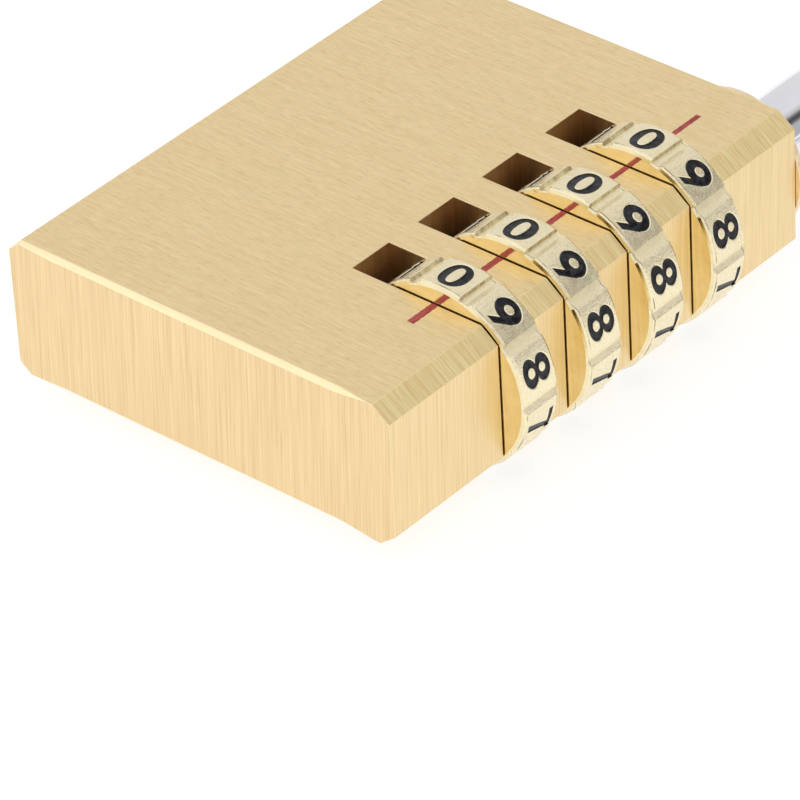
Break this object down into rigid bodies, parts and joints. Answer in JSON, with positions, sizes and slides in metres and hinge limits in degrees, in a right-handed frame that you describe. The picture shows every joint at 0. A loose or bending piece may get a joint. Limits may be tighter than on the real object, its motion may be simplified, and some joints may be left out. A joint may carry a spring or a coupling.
{
  "type": "combination padlock",
  "caption": "Brushed brass combination padlock with number dials along one edge, open, its round chromed steel shackle raised and turned aside.",
  "frame": {"origin": "centre of the plain bottom end of the body, half-way through its thickness", "axes": "+X across the body towards the dials, +Y along the body towards the shackle, +Z out of the front face, up as pictured"},
  "size_m": [0.0648, 0.0876, 0.0168],
  "materials": {
    "case_brass": "brushed",
    "collar_brass": "turned",
    "dial_brass": "satin, sides polished, digits filled black",
    "tumbler_brass": "turned",
    "chrome": "polished",
    "detent_steel": "polished",
    "spring_steel": "drawn wire"
  },
  "bodies": {
    "case": {"body": "case_brass", "shackle_collar": "collar_brass", "lift_spring": "spring_steel", "detent_ball_1": "detent_steel", "detent_ball_2": "detent_steel", "detent_ball_3": "detent_steel", "detent_ball_4": "detent_steel", "detent_spring_1": "spring_steel", "detent_spring_2": "spring_steel", "detent_spring_3": "spring_steel", "detent_spring_4": "spring_steel"},
    "shackle_ring": {"retaining_ring": "spring_steel"},
    "shackle": {"shackle": "chrome"},
    "dial_1": {"dial_1": "dial_brass", "tumbler_1": "tumbler_brass"},
    "dial_2": {"dial_2": "dial_brass", "tumbler_2": "tumbler_brass"},
    "dial_3": {"dial_3": "dial_brass", "tumbler_3": "tumbler_brass"},
    "dial_4": {"dial_4": "dial_brass", "tumbler_4": "tumbler_brass"}
  },
  "joints": [
    {"name": "shackle_lift", "type": "slide", "parent": "case", "child": "shackle_ring", "axis": [0, 1, 0], "range_m": [-0.0039, 0], "stiffness_N_per_m": 100, "springref_m": 0.004},
    {"name": "shackle_swivel", "type": "hinge", "parent": "shackle_ring", "child": "shackle", "pos_m": [0.014, 0.051, 0], "axis": [0, 1, 0], "continuous": true},
    {"name": "dial_1_turn", "type": "hinge", "parent": "case", "child": "dial_1", "pos_m": [0.014, 0.01535, 0], "axis": [0, 1, 0], "continuous": true},
    {"name": "dial_2_turn", "type": "hinge", "parent": "case", "child": "dial_2", "pos_m": [0.014, 0.02335, 0], "axis": [0, 1, 0], "continuous": true},
    {"name": "dial_3_turn", "type": "hinge", "parent": "case", "child": "dial_3", "pos_m": [0.014, 0.03135, 0], "axis": [0, 1, 0], "continuous": true},
    {"name": "dial_4_turn", "type": "hinge", "parent": "case", "child": "dial_4", "pos_m": [0.014, 0.03935, 0], "axis": [0, 1, 0], "continuous": true}
  ]
}
